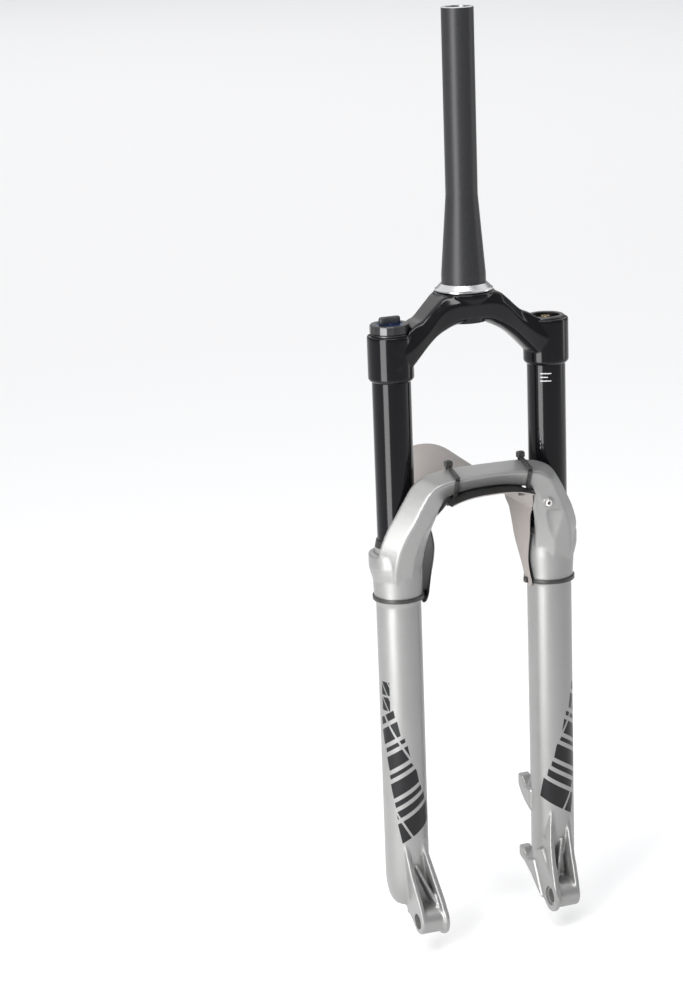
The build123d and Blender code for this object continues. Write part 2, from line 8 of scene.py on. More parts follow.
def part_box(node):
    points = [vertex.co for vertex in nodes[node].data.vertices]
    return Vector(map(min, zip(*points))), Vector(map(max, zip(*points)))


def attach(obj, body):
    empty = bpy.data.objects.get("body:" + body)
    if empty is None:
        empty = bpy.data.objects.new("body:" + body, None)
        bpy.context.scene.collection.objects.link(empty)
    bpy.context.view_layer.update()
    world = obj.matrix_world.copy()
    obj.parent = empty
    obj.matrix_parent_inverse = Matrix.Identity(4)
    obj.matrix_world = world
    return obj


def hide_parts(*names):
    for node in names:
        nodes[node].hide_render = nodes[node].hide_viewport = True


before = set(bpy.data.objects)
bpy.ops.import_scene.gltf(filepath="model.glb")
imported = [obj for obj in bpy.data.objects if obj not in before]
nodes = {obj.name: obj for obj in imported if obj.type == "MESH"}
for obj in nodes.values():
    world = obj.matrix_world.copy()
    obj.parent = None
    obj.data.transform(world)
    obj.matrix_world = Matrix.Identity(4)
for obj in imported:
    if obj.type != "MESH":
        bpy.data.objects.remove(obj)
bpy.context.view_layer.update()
mm = 0.001

# ---- Studio ---------------------------------------------------------------------------------
# A wide pale floor under the fork, lit by a large panel over the ground behind it, a tall strip
# light on each side and a strip above its front. The camera is a little to the damper side and
# above the crown.
bpy.ops.object.select_all(action="DESELECT")
bpy.ops.mesh.primitive_grid_add(
    size=80, x_subdivisions=8, y_subdivisions=8, location=(0, 0, -615 * mm)
)
floor = bpy.context.object
floor.name = "studio_floor"
floor_paint = bpy.data.materials.new("pale_floor")
floor_paint.use_nodes = True
paint_shader = floor_paint.node_tree.nodes["Principled BSDF"]
paint_shader.inputs["Base Color"].default_value = (0.93, 0.93, 0.93, 1)
paint_shader.inputs["Roughness"].default_value = 0.9
floor.data.materials.append(floor_paint)

sky = bpy.data.worlds.new("studio_air")
bpy.context.scene.world = sky
sky.use_nodes = True
background = sky.node_tree.nodes["Background"]
background.inputs["Color"].default_value = (0.96, 0.97, 1.0, 1)
background.inputs["Strength"].default_value = 0.34

for name, place, size, power, target in (
    ("strip_left", (-1.05, -0.63, 0.15), (0.6, 1.5), 28, Vector((0, 0, 0.15))),
    ("strip_right", (2.35, -0.45, 0.35), (0.6, 2.1), 9, Vector((0, 0, -0.17))),
    ("strip_front", (-0.3, -0.6, 1.6), (1.6, 0.3), 18, Vector((0, 0, -0.1))),
    ("panel_above", (1.5, 7.4, 4.5), (13.0, 16.5), 640, Vector((1.5, 7.4, 0))),
):
    lamp = bpy.data.lights.new(name, "AREA")
    lamp.shape = "RECTANGLE"
    lamp.size, lamp.size_y = size
    lamp.energy = power
    stand = bpy.data.objects.new(name, lamp)
    stand.location = place
    stand.rotation_euler = (target - Vector(place)).to_track_quat("-Z", "Y").to_euler()
    bpy.context.scene.collection.objects.link(stand)

turn_in, look_down, roll = 0.3555, 0.3181, -0.0407
ahead = Vector((
    math.sin(turn_in) * math.cos(look_down),
    math.cos(turn_in) * math.cos(look_down),
    -math.sin(look_down),
))
across = Vector((math.cos(turn_in), -math.sin(turn_in), 0))
upward = across.cross(ahead)
view_x = across * math.cos(roll) + upward * math.sin(roll)
view_y = upward * math.cos(roll) - across * math.sin(roll)
eye = (-0.91279, -2.10759, 0.42086)
camera = bpy.data.objects.new("camera", bpy.data.cameras.new("camera"))
camera.data.lens = 93.24
camera.data.shift_y = 0.15
camera.matrix_world = Matrix.Translation(eye) @ Matrix(
    (view_x, view_y, -ahead)
).transposed().to_4x4()
bpy.context.scene.collection.objects.link(camera)
bpy.context.scene.camera = camera
bpy.context.scene.view_settings.view_transform = "Standard"


# ---- Steerer --------------------------------------------------------------------------------
# The steerer is a butted aluminium tube, straight at the stem and tapered to the crown. It is
# anodised satin black, and the cut at its top shows bare metal.
class Value:
    """One socket of a finish; Python's operators add the Math nodes."""

    def __init__(self, finish, socket):
        self.finish, self.socket = finish, socket

    def math(self, operation, *others, clamp=False):
        settings = {"operation": operation, "use_clamp": clamp}
        return self.finish.node("ShaderNodeMath", settings, dict(enumerate((self, *others))))

    def __add__(self, other):
        return self.math("ADD", other)

    def __mul__(self, other):
        return self.math("MULTIPLY", other)

    def __sub__(self, other):
        return self.math("SUBTRACT", other)

    def __rsub__(self, other):
        return self.math("MULTIPLY_ADD", -1.0, other)

    def __abs__(self):
        return self.math("ABSOLUTE")

    def above(self, edge, soft=0.0002):
        """0 below the edge and 1 above it, over a short ramp."""
        return self.math("MULTIPLY_ADD", 1 / soft, 0.5 - edge / soft, clamp=True)

    def within(self, low, high, soft=0.0002):
        return self.above(low, soft) * (1 - self.above(high, soft))


class Finish:
    """A surface finish: a Principled shader with patterns that lie on the piece's own place."""

    def __init__(self, name, **sockets):
        self.material = bpy.data.materials.new(name)
        self.material.use_nodes = True
        self.tree = self.material.node_tree
        self.shader = self.tree.nodes["Principled BSDF"]
        self.place = self.node("ShaderNodeTexCoord", output="Object")
        parts = self.node("ShaderNodeSeparateXYZ", sockets={0: self.place})
        made = parts.socket.node
        self.x, self.y, self.z = (Value(self, made.outputs[axis]) for axis in "XYZ")
        self.set(**sockets)

    def node(self, kind, settings=None, sockets=None, output=0):
        made = self.tree.nodes.new(kind)
        for key, value in (settings or {}).items():
            setattr(made, key, value)
        for key, value in (sockets or {}).items():
            if isinstance(value, Value):
                self.tree.links.new(value.socket, made.inputs[key])
            else:
                made.inputs[key].default_value = value
        return Value(self, made.outputs[output])

    def set(self, **sockets):
        """Sets the shader's sockets; an underscore in a name stands for a space."""
        for key, value in sockets.items():
            socket = self.shader.inputs[key.replace("_", " ")]
            if isinstance(value, Value):
                self.tree.links.new(value.socket, socket)
            else:
                socket.default_value = value

    def noise(self, scale, detail=2.0, stretch=(1, 1, 1)):
        spread = self.node("ShaderNodeMapping", sockets={0: self.place, 3: stretch})
        sockets = {"Vector": spread, "Scale": scale, "Detail": detail}
        return self.node("ShaderNodeTexNoise", sockets=sockets)

    def mix(self, factor, first, second):
        """Colours are (red, green, blue) or links."""
        first, second = (c if isinstance(c, Value) else (*c, 1) for c in (first, second))
        settings = {"data_type": "RGBA"}
        return self.node("ShaderNodeMix", settings, {0: factor, 6: first, 7: second}, output=2)

    def bump(self, height, distance, strength=1.0):
        sockets = {"Height": height, "Distance": distance, "Strength": strength}
        self.set(Normal=self.node("ShaderNodeBump", sockets=sockets))

    def radius(self, x, y):
        """Distance from a vertical axis at x, y."""
        flat_x, flat_y = self.x - x, self.y - y
        return (flat_x * flat_x + flat_y * flat_y).math("SQRT")

    def cover(self, *pieces):
        for piece in pieces:
            piece.data.materials.clear()
            piece.data.materials.append(self.material)


steerer_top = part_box("steerer_tube")[1].z
saw_cut, bore_edge = 0.5 * mm, 13.4 * mm
anodised = Finish("steerer_black", Specular_IOR_Level=0.3)
speckle = anodised.noise(700, 3)
bare = anodised.z.above(steerer_top - saw_cut)
hollow = 1 - anodised.radius(0, 0).above(bore_edge)
bare = bare.math("MAXIMUM", hollow)
anodised.set(
    Base_Color=anodised.mix(
        bare,
        anodised.mix(speckle, (0.012, 0.012, 0.013), (0.028, 0.028, 0.03)),
        (0.62, 0.62, 0.63),
    ),
    Roughness=speckle * 0.12 + 0.33 - bare * 0.08,
    Metallic=bare,
)
anodised.bump(speckle + anodised.noise(90, 1, (1, 1, 0.1)) * 0.4, 0.04 * mm, 0.5)
anodised.cover(nodes["steerer_tube"])

# ---- Crown race -----------------------------------------------------------------------------
# The race is a hardened steel cone pressed on at the foot of the steerer. It was turned and
# ground, so it shines and fine tool lines run round it.
ground_steel = Finish("race_steel", Metallic=1.0)
turning = (ground_steel.radius(0, 0) + ground_steel.z).math("MULTIPLY", 9000)
turning = turning.math("SINE") + ground_steel.noise(260, 2, (0.2, 0.2, 6))
ground_steel.set(
    Base_Color=ground_steel.mix(
        ground_steel.noise(60, 3), (0.46, 0.46, 0.465), (0.62, 0.62, 0.625)
    ),
    Roughness=turning * 0.05 + 0.2,
)
ground_steel.bump(turning, 0.02 * mm, 0.4)
ground_steel.cover(nodes["crown_race"])


# ---- Crown ----------------------------------------------------------------------------------
# One aluminium forging: a round boss for the steerer and two arched arms down to the collars
# that clamp the stanchions. It is machined in the bores and painted gloss black.
def add(name, vertices, fill="NGON"):
    """A closed outline with nothing else selected."""
    bpy.ops.object.select_all(action="DESELECT")
    bpy.ops.mesh.primitive_circle_add(vertices=len(vertices), fill_type=fill)
    piece = bpy.context.object
    piece.name = name
    for vertex, place in zip(piece.data.vertices, vertices):
        vertex.co = place
    return piece


def turn(name, outline, x, y, steps=96):
    """Spins a closed outline of (radius, height) points round a vertical axis at x, y."""
    places = [(x + radius * mm, y, height * mm) for radius, height in outline]
    piece = add(name, places, "NOTHING")
    bpy.ops.object.mode_set(mode="EDIT")
    bpy.ops.mesh.select_all(action="SELECT")
    bpy.ops.mesh.spin(steps=steps, angle=math.tau, center=(x, y, 0), axis=(0, 0, 1))
    bpy.ops.mesh.select_all(action="SELECT")
    bpy.ops.mesh.remove_doubles(threshold=1e-6)
    bpy.ops.mesh.dissolve_degenerate(threshold=1e-7)
    bpy.ops.mesh.normals_make_consistent(inside=False)
    bpy.ops.object.mode_set(mode="OBJECT")
    return piece


def rounded(corners, radii, steps=5):
    """The corners of a flat outline, each eased by its radius, all in millimetres."""
    places = []
    for corner, (here, radius) in enumerate(zip(corners, radii)):
        here = Vector(here)
        before = (Vector(corners[corner - 1]) - here).normalized() * radius
        after = (Vector(corners[(corner + 1) % len(corners)]) - here).normalized() * radius
        for step in range(steps):
            share = step / (steps - 1)
            eased = before * (1 - share) ** 2 + after * share**2
            places.append(here + eased)
    return places


def eased(stations, steps):
    """Fills in rows of numbers between the stations, on a curve through all of them."""
    rows = []
    for index in range(len(stations) - 1):
        around = [stations[max(0, min(len(stations) - 1, index + k))] for k in (-1, 0, 1, 2)]
        for step in range(steps):
            t = step / steps
            rows.append([
                b + 0.5 * t * (c - a + t * (2 * a - 5 * b + 4 * c - d + t * (3 * (b - c) + d - a)))
                for a, b, c, d in zip(*around)
            ])
    return rows + [list(stations[-1])]


def draw_out(name, sections):
    """Draws a closed outline out through the sections that follow it, and closes both ends."""
    piece = add(name, [place * mm for place in sections[0]])
    bpy.ops.object.mode_set(mode="EDIT")
    bpy.ops.mesh.select_all(action="SELECT")
    for section in sections[1:]:
        bpy.ops.mesh.extrude_region_move()
        skin = bmesh.from_edit_mesh(piece.data)
        end = next(face for face in skin.faces if face.select)
        for vertex, place in zip(end.verts, section):
            vertex.co = place * mm
        bmesh.update_edit_mesh(piece.data)
    bpy.ops.mesh.select_all(action="SELECT")
    bpy.ops.mesh.normals_make_consistent(inside=False)
    bpy.ops.object.mode_set(mode="OBJECT")
    return piece


def both_sides(half):
    """The sections of one half, led by their mirror image across the middle."""
    mirrored = [[Vector((-place.x, place.y, place.z)) for place in section] for section in half]
    return mirrored[:0:-1] + half


def join(name, *shapes):
    bpy.ops.object.select_all(action="DESELECT")
    for shape in shapes:
        shape.select_set(True)
    bpy.context.view_layer.objects.active = shapes[0]
    if len(shapes) > 1:
        bpy.ops.object.join()
    bpy.context.object.name = name
    return bpy.context.object


def modify(piece, kind, **settings):
    """Adds one modifier and applies it."""
    bpy.ops.object.select_all(action="DESELECT")
    piece.select_set(True)
    bpy.context.view_layer.objects.active = piece
    modifier = piece.modifiers.new(kind, kind)
    for key, value in settings.items():
        setattr(modifier, key, value)
    bpy.ops.object.modifier_apply(modifier=modifier.name)
    return piece


def cast(name, grain, passes, *shapes):
    """Melts overlapping solids into one skin with the soft inner corners of a mould."""
    piece = join(name, *shapes)
    modify(piece, "REMESH", mode="VOXEL", voxel_size=grain * mm)
    return modify(piece, "SMOOTH", factor=0.5, iterations=passes)


def cut(piece, *cutters):
    """Machines the cutters' shapes out of a piece."""
    tool = join("tool", *cutters)
    modify(piece, "BOOLEAN", operation="DIFFERENCE", solver="MANIFOLD", object=tool)
    bpy.data.objects.remove(tool)
    return piece


def smooth(piece, angle=40):
    bpy.ops.object.select_all(action="DESELECT")
    piece.select_set(True)
    bpy.context.view_layer.objects.active = piece
    bpy.ops.object.shade_smooth_by_angle(angle=math.radians(angle))
    return piece


low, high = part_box("stanchion_air")
leg_x, leg_y = (low.x + high.x) / 2, (low.y + high.y) / 2
stanchion_r = (high.x - low.x) / 2 / mm
crown_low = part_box("crown")[0].z / mm
collar_r = (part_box("crown")[1].x - leg_x) / mm
collar_top, seat_r, knob_r = -31.5, 28.4, 18.6
steerer_fit, boss_low = 19.95, -28.2
sides = (-1, 1)

boss = turn("boss", [
    (0, -0.9), (seat_r - 1.6, -0.9), (seat_r - 0.5, -2.2), (seat_r - 0.5, -6), (seat_r - 2, -12),
    (seat_r - 4.2, -20), (seat_r - 7, boss_low), (0, boss_low),
], 0, 0)
collars = [turn("collar", [
    (0, collar_top), (collar_r - 1.8, collar_top), (collar_r - 0.5, collar_top - 0.6),
    (collar_r, collar_top - 2), (collar_r, crown_low + 2.8), (collar_r - 2.6, crown_low),
    (0, crown_low),
], side * leg_x, leg_y) for side in sides]
# Each station: distance from the middle, top, front crease, underside, and the depths of the
# crease, of the top edge in front, of the top edge behind and of the rear face
arm_stations = [
    (0, -0.9, -9.6, -28.4, -27.6, -20, 16, 27.5),
    (15, -0.9, -9.4, -30.2, -26.8, -20, 15, 24),
    (26, -2.2, -11.8, -34.8, -26.2, -19, 12, 20.5),
    (34, -8.2, -17.2, -39.4, -26.0, -18.5, 9.5, 17.5),
    (41, -14.8, -25.0, -45.0, -26.2, -18.2, 8.5, 15),
    (47.5, -20.6, -31.5, -51.5, -26.8, -19, 7.5, 13),
    (54, -23.4, -37.0, -58.5, -27.6, -20, 6.5, 12),
    (61, -27.6, -42.5, -65.5, -28.2, -21, 5.5, 11.8),
    (69, -31.4, -47.0, -69.0, -28.6, -22, 5.0, 11.8),
]
arm_sections = []
for x, top, crease, under, front, top_front, top_rear, rear in eased(arm_stations, 6):
    arm_sections.append(rounded([
        (x, top_rear, top), (x, top_front, top), (x, front, crease),
        (x, front + 4.5, crease * 0.2 + under * 0.8), (x, -11, under),
        (x, rear - 9, under + 0.5), (x, rear, (top + under) / 2),
    ], (2.5, 2.5, 2.0, 5.0, 4.0, 6.0, 5.0)))
arms = draw_out("arms", both_sides(arm_sections))
crown = cast("crown_forging", 0.8, 8, boss, *collars, arms)
modify(crown, "DECIMATE", ratio=0.75)
steerer_seat = [(0, 20), (steerer_fit, 20), (steerer_fit, -60), (0, -60)]
cut(crown, turn("steerer_seat", steerer_seat, 0, 0), *(
    turn("stanchion_seat", [
        (0, -10), (knob_r, -10), (knob_r, collar_top + 0.05), (stanchion_r + 0.9, collar_top + 0.05),
        (stanchion_r + 0.1, collar_top - 0.8), (stanchion_r + 0.1, crown_low + 0.8),
        (stanchion_r + 1.2, crown_low - 1), (0, crown_low - 1),
    ], side * leg_x, leg_y) for side in sides
))
smooth(crown)

gloss_black = Finish("crown_black", Specular_IOR_Level=0.25)
orange_peel = gloss_black.noise(160, 2)
dust = gloss_black.noise(35, 5).above(0.66, 0.1)
gloss_black.set(
    Base_Color=gloss_black.mix(dust * 0.25, (0.004, 0.004, 0.005), (0.02, 0.0195, 0.0185)),
    Roughness=orange_peel * 0.05 + dust * 0.06 + 0.09,
)
gloss_black.bump(orange_peel, 0.05 * mm, 0.35)
gloss_black.cover(crown)
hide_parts("crown")
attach(crown, "uppers")

# ---- Stanchions -----------------------------------------------------------------------------
# Two drawn aluminium tubes, ground and hard anodised to a gloss black, pressed into the crown.
# Small pale ticks are printed below the collar and above the wiper on the air side.
slick_black = Finish("stanchion_black", Specular_IOR_Level=0.25)
grinding = slick_black.noise(500, 2, (1, 1, 0.02))
inside = (
    slick_black.radius(leg_x, leg_y).math("MINIMUM", slick_black.radius(-leg_x, leg_y))
)
inside = 1 - inside.above((stanchion_r - 0.8) * mm)
front_half = 1 - slick_black.y.above(leg_y - 12 * mm)
ticks = 0
for height, length in ((-80, 9), (-83.4, 6), (-86.8, 9)):
    along = slick_black.x.within(leg_x - 12 * mm, leg_x + (length - 12) * mm)
    ticks = along * slick_black.z.within((height - 0.9) * mm, height * mm) + ticks
for height in (-140, -144, -148):
    along = slick_black.x.within(leg_x - 15 * mm, leg_x - 12.5 * mm)
    ticks = along * slick_black.z.within((height - 2.4) * mm, height * mm) + ticks
ticks = ticks * front_half
slick_black.set(
    Base_Color=slick_black.mix(
        ticks.math("MAXIMUM", inside * 0.6), (0.004, 0.004, 0.005), (0.5, 0.5, 0.51)
    ),
    Roughness=grinding * 0.07 + ticks * 0.2 + 0.08,
)
slick_black.bump(grinding, 0.01 * mm, 0.3)
slick_black.cover(nodes["stanchion_damper"], nodes["stanchion_air"])

# ---- Top caps and adjusters -----------------------------------------------------------------
# Machined aluminium caps screw into the stanchions. The damper's carries a faceted ring with a
# blue dial and a black grip, the air side's a recess with the valve.
for slot, dark, light, rough, members in (
    ("cap_gunmetal", (0.045, 0.045, 0.047), (0.085, 0.085, 0.088), 0.26,
     ("damper_top_cap", "air_top_cap", "compression_knob")),
    ("machined_aluminium", (0.5, 0.5, 0.51), (0.68, 0.68, 0.69), 0.26, (
        "compression_valve", "damper_tube", "damper_seal_head", "air_seal_head",
        "rebound_piston", "air_piston", "damper_cap_plug",
    )),
    ("valve_brass", (0.2, 0.14, 0.06), (0.3, 0.22, 0.1), 0.3,
     ("air_valve_body", "air_valve_pin")),
    ("shaft_steel", (0.5, 0.5, 0.52), (0.68, 0.68, 0.7), 0.16, (
        "rebound_shaft", "air_shaft", "damper_foot_bolt", "air_foot_bolt",
        "compression_needle", "rebound_needle", "air_retaining_ring",
    )),
    ("dial_blue", (0.012, 0.06, 0.27), (0.03, 0.12, 0.42), 0.24, ("low_speed_dial",)),
    ("rebound_red", (0.4, 0.012, 0.01), (0.58, 0.03, 0.02), 0.25, ("rebound_knob",)),
    ("bushing_bronze", (0.3, 0.2, 0.1), (0.42, 0.29, 0.16), 0.4, (
        "upper_bushing_damper", "lower_bushing_damper", "upper_bushing_air",
        "lower_bushing_air", "damper_foot_washer", "air_foot_washer",
    )),
):
    finish = Finish(slot, Metallic=0.9)
    lines = (finish.radius(-leg_x, leg_y) * 6000).math("SINE") * 0.5
    lines = lines + finish.noise(420, 2, (0.3, 0.3, 4))
    patches = finish.noise(120, 4)
    finish.set(
        Base_Color=finish.mix(patches, dark, light),
        Roughness=lines * 0.06 + patches * 0.08 + rough,
    )
    finish.bump(lines, 0.015 * mm, 0.4)
    finish.cover(*(nodes[member] for member in members))

# ---- Grip bar -------------------------------------------------------------------------------
# The fine adjuster is turned by a moulded black bar with rounded ends, screwed over the dial.
# Its sides pull in at the middle for the fingers.
low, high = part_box("dial_grip")
bar_centre, bar_size = (low + high) / 2, (high - low) / mm
bar_x, bar_y = bar_centre.x / mm, bar_centre.y / mm
half_x, half_y = bar_size.x / 2, bar_size.y / 2
squareness, waist_depth, waist_pinch = 0.55, 0.22, 1.6
bar_sections = []
for height, inset in ((low.z / mm, 0.3), (low.z / mm + 0.4, 0), (high.z / mm - 1.6, 0.1),
                      (high.z / mm - 0.6, 0.6), (high.z / mm - 0.1, 1.5), (high.z / mm, 2.2)):
    outline = []
    for step in range(48):
        angle = math.tau * step / 48
        along = math.copysign(abs(math.cos(angle)) ** squareness, math.cos(angle))
        aside = math.copysign(abs(math.sin(angle)) ** squareness, math.sin(angle))
        waist = 1 - waist_depth * max(0.0, 1 - (along * waist_pinch) ** 2)
        if half_x > half_y:
            spread = ((half_x - inset) * along, (half_y - inset) * aside * waist)
        else:
            spread = ((half_x - inset) * aside * waist, (half_y - inset) * along)
        outline.append(Vector((bar_x + spread[0], bar_y + spread[1], height)))
    bar_sections.append(outline)
grip = smooth(draw_out("grip_bar", bar_sections), 50)
grip_black = Finish("grip_black", Roughness=0.5)
pebbles = grip_black.noise(900, 3)
grip_black.set(
    Base_Color=grip_black.mix(pebbles, (0.012, 0.012, 0.013), (0.035, 0.035, 0.036)),
    Roughness=pebbles * 0.2 + 0.38,
)
grip_black.bump(pebbles, 0.08 * mm, 0.5)
grip_black.cover(grip)
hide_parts("dial_grip")
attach(grip, "low_speed_adjuster")

# ---- Lowers ---------------------------------------------------------------------------------
# One magnesium casting: two legs with wiper housings, a creased arch that runs down in front of
# them, dropouts of two ribs and a plate, and the brake posts. It is painted silver and lacquered,
# then bored, and dark angular graphics are laid down the outside of each leg.
def plate(name, outline, near, far, ease):
    """A web: an outline of (y, z) points with eased corners, drawn out along X."""
    corners = rounded([Vector((near, y, z)) for y, z in outline], [ease] * len(outline))
    return draw_out(name, [corners, [place + Vector((far - near, 0, 0)) for place in corners]])


def rod(radius, length, centre, along="X", vertices=64):
    """A round bar along X or Y, in millimetres."""
    lying = (0, math.pi / 2, 0) if along == "X" else (math.pi / 2, 0, 0)
    bpy.ops.object.select_all(action="DESELECT")
    bpy.ops.mesh.primitive_cylinder_add(
        vertices=vertices, radius=radius * mm, depth=length * mm, rotation=lying,
        location=[place * mm for place in centre],
    )
    bpy.ops.object.transform_apply()
    return bpy.context.object


def hull(name, rounds, near, far):
    """A plate stretched round discs, each given as (y, z, radius)."""
    middle = (near + far) / 2
    discs = [rod(radius, abs(far - near), (middle, y, z)) for y, z, radius in rounds]
    piece = join(name, *discs)
    bpy.ops.object.mode_set(mode="EDIT")
    bpy.ops.mesh.select_all(action="SELECT")
    bpy.ops.mesh.convex_hull()
    bpy.ops.mesh.normals_make_consistent(inside=False)
    bpy.ops.object.mode_set(mode="OBJECT")
    return piece


axle_y, axle_z = -44.5, -582.0
through_r, thread_r, hub_seat_r = 7.6, 6.95, 9.2
housing_top, leg_r, housing_r = -230.0, 20.7, 23.2
bore_r = 18.35
post_near, post_far, post_back = 52.4, 62.4, 20
hose_x, hose_z = 58.2, -194.2
leg_side = leg_x / mm
legs = [turn("leg", [
    (0, housing_top), (housing_r - 1.2, housing_top), (housing_r, housing_top - 1.2),
    (housing_r, -252), (22.7, -261), (22.3, -268), (22.2, -273.5), (21.7, -276),
    (leg_r, -279), (leg_r, -545), (20.3, -552), (19.5, -559), (18.2, -565), (16.2, -570),
    (13.8, -573.6), (12.2, -575), (0, -575),
], side * leg_x, leg_y) for side in sides]

# Each station: the outer and inner points at the rear of the arch, how far forward the rear
# face is, then the share and the depth of the front crease and of the lower front edge
arch_stations = [
    (0, -152.7, 0, -172.0, -30.6, 0.34, -52.0, 0.97, -45.0),
    (18, -152.9, 17, -172.8, -30.6, 0.34, -52.0, 0.97, -45.0),
    (36, -153.5, 34, -176.0, -30.6, 0.34, -52.0, 0.97, -45.2),
    (54, -156.5, 41, -178.5, -30.6, 0.35, -52.0, 0.95, -46.0),
    (68, -163.5, 44.5, -185, -30.6, 0.37, -51.0, 0.91, -46.0),
    (77, -176, 47.6, -193, -30.0, 0.38, -49.0, 0.87, -44.8),
    (86, -192, 51, -205, -27.5, 0.38, -46.0, 0.81, -42.5),
    (94.3, -208, 53.4, -216, -24.0, 0.36, -41.5, 0.75, -39.8),
    (99.6, -226, 55.2, -231, -20.0, 0.33, -37.0, 0.70, -36.4),
    (99.0, -245, 56.6, -250, -8.5, 0.27, -32.5, 0.68, -31.8),
    (91.5, -275, 60.0, -277, -8.5, 0.25, -24.6, 0.70, -24.4),
    (88.0, -296, 63.0, -298, -8.5, 0.25, -22.0, 0.75, -22.0),
]
arch_sections = []
for x, z, inner_x, inner_z, rear, crease_at, crease, edge_at, edge in eased(arch_stations, 5):
    outer, inner = Vector((x, 0, z)), Vector((inner_x, 0, inner_z))
    arch_sections.append(rounded([
        outer + Vector((0, rear, 0)),
        outer.lerp(inner, crease_at) + Vector((0, crease, 0)),
        outer.lerp(inner, edge_at) + Vector((0, edge, 0)),
        inner + Vector((0, edge + 2 + 32 * (1 - edge_at), 0)),
        inner + Vector((0, rear, 0)),
    ], (2.4, 1.4, 1.2, 1.2, 2.0)))
arch = draw_out("arch", both_sides(arch_sections))
# The rim of each housing is thicker on the outside, and tapers down into the leg
rims = []
for side in sides:
    sections = []
    for height, radius, out in (
        (-230, 22.9, 2.3), (-231.3, 24, 2.3), (-242, 24, 2.3), (-247, 23.5, 1.9),
        (-254, 22.6, 0.9), (-262, 20.6, 0),
    ):
        middle = Vector((side * (leg_side + out), leg_y / mm, height))
        sections.append([
            middle + Matrix.Rotation(math.tau * step / 96, 3, "Z") @ Vector((radius, 0, 0))
            for step in range(96)
        ])
    rims.append(draw_out("rim", sections))
# Pockets behind the arch, between upright ribs, save weight
pockets = [
    plate("pocket", [(-20, -157), (-42, -159.5), (-42, -167.5), (-20, -167.5)],
          middle - 6.4, middle + 6.4, 1.5)
    for middle in (-32, -16, 0, 16, 32)
]
cut(arch, *pockets)

# The ribs leave the leg's front high up and slant down to the plates. Each station: height,
# inner and outer face, front edge
rib_stations = [
    [(-498, 66.6, 69.6, -26.6), (-515, 63.6, 68.0, -29.4), (-530, 60.6, 65.8, -34.5),
     (-545, 58.0, 63.6, -41.5), (-560, 55.9, 61.6, -50), (-572, 55, 60.3, -56),
     (-583, 55, 60, -59.6)],
    [(-498, 82.0, 85.0, -25.0), (-515, 81.4, 85.4, -28.6), (-530, 80.4, 85, -34),
     (-545, 79.2, 84.0, -41), (-560, 78, 82.8, -49), (-572, 77.2, 81.9, -54.6),
     (-583, 77.2, 81.7, -56.8)],
]
rib_back = -18
feet = []
for side in sides:
    inner_face, plate_face, outer_face = side * 55, side * 59.5, side * 81.5
    feet += [
        hull("inner_plate", [(axle_y, axle_z, 15.5), (-24, -545, 4), (-12, -563, 11)],
             inner_face, plate_face),
        hull("barrel", [(axle_y, axle_z, 12.5), (-30, -577, 8)], plate_face, outer_face),
        hull("outer_plate", [(axle_y, axle_z, 12.5), (-24, -548, 5), (-14, -562, 11)],
             side * 77.5, outer_face),
        hull("back_wall", [(-20, -535, 6), (-22, -573, 9), (-12, -560, 10)],
             plate_face, side * 78),
        draw_out("middle_rib", [
            [Vector((side * (near + shift), y, z)) for near, y, z in (
                (60, -48, -568), (74, -31, -532), (74, -20, -532), (60, -20, -568)
            )] for shift in (0, 3.4)
        ]),
    ]
    for rib in rib_stations:
        sections = []
        for height, near, far, front in eased(rib, 4):
            sections.append(rounded([
                Vector((side * near, rib_back, height)), Vector((side * near, front, height)),
                Vector((side * far, front, height)), Vector((side * far, rib_back, height)),
            ], (0.5, 1.6, 1.6, 0.5)))
        feet.append(draw_out("rib", sections))
posts = [
    plate("upper_post", [
        (19.5, -478.6), (16.5, -476.6), (11, -477.6), (7, -482), (2, -486), (-8, -486),
        (-8, -508), (7, -501), (15, -494), (19.5, -488.3),
    ], post_near, post_far, 1.6),
    plate("lower_post", [
        (19.5, -553), (16.5, -551), (11, -552), (6, -557), (0, -560), (-12, -556),
        (-30, -590), (-22, -584.5), (-6, -573), (8, -565.5), (15, -564), (19.5, -562.2),
    ], post_near, post_far, 1.6),
]
hose_boss = rod(3.6, 9, (hose_x, -44.5, hose_z), "Y", 48)

# The brake-side shoulder is hollowed in front, below a thin ledge under the hose boss, and its
# inner corner is cut back. Each station: height, left and right side, depth of the hollow's floor
hollow_stations = [
    (-202.6, 58.5, 79, -41), (-210, 59.6, 79, -38.2), (-220, 61.5, 78, -36),
    (-230, 63.5, 76, -34.8), (-240, 65.5, 74, -34.2),
]
ahead_of_arch = -62
hollow_sections = []
for height, left, right, deep in eased(hollow_stations, 3):
    hollow_sections.append(rounded([
        Vector((left, ahead_of_arch, height)), Vector((left, deep, height)),
        Vector((left * 0.7 + right * 0.3, deep + 0.6, height)), Vector((right, deep - 5, height)),
        Vector((right, ahead_of_arch, height)),
    ], (0.5, 2.0, 3.0, 3.0, 0.5)))
hollow_tool = draw_out("hollow_tool", hollow_sections)
corner_tool = plate("corner_tool", [(-60, -206), (-42.4, -206), (-41.0, -216), (-60, -228)],
                    60.5, 66, 1.0)
cut(arch, hollow_tool, corner_tool)
lowers = cast("lowers_skin", 1.15, 5, *legs, *rims, arch, *feet, *posts, hose_boss)
modify(lowers, "DECIMATE", ratio=0.62)

